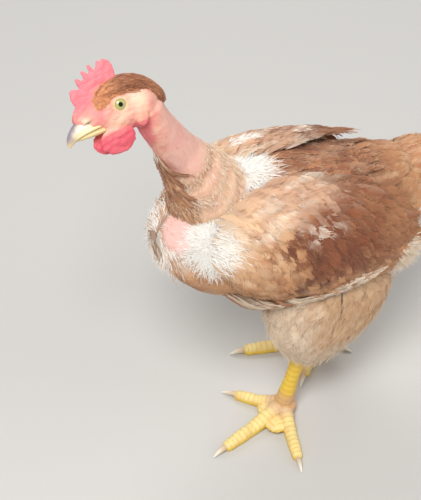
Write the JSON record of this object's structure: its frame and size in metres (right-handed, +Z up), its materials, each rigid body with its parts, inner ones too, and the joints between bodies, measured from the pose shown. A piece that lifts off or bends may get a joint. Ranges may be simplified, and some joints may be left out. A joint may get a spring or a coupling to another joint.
{
  "type": "naked neck chicken",
  "caption": "A life-size naked neck pullet standing in mid stride, with a bare rosy neck, a single comb and buff and red-brown feathers.",
  "frame": {"origin": "middle of the bird's bounding box, on the floor it stands on", "axes": "-X is the way the bird walks, -Y is its left side, +Z is up"},
  "size_m": [0.436, 0.203, 0.3939],
  "materials": {
    "body_feathers": "matte",
    "wing_feathers": "matte",
    "tail_feathers": "matte",
    "crown_feathers": "matte",
    "tuft_feathers": "matte",
    "neck_skin": "satin",
    "face_skin": "satin",
    "comb_skin": "satin",
    "bill_horn": "satin",
    "eye": "gloss",
    "leg_scales": "satin",
    "claw_horn": "satin"
  },
  "bodies": {
    "root": {"bill_lower": "bill_horn", "bill_upper": "bill_horn", "claw_left_back": "claw_horn", "claw_left_inner": "claw_horn", "claw_left_middle": "claw_horn", "claw_left_outer": "claw_horn", "claw_right_back": "claw_horn", "claw_right_inner": "claw_horn", "claw_right_middle": "claw_horn", "claw_right_outer": "claw_horn", "comb": "comb_skin", "crown": "crown_feathers", "earlobe_left": "face_skin", "earlobe_right": "face_skin", "eye_left": "eye", "eye_right": "eye", "foot_left": "leg_scales", "foot_right": "leg_scales", "head": "face_skin", "neck": "neck_skin", "neck_tuft": "tuft_feathers", "tail": "tail_feathers", "thigh_left": "body_feathers", "thigh_right": "body_feathers", "torso": "body_feathers", "wattle_left": "comb_skin", "wattle_right": "comb_skin", "wing_left": "wing_feathers", "wing_right": "wing_feathers"}
  },
  "joints": []
}
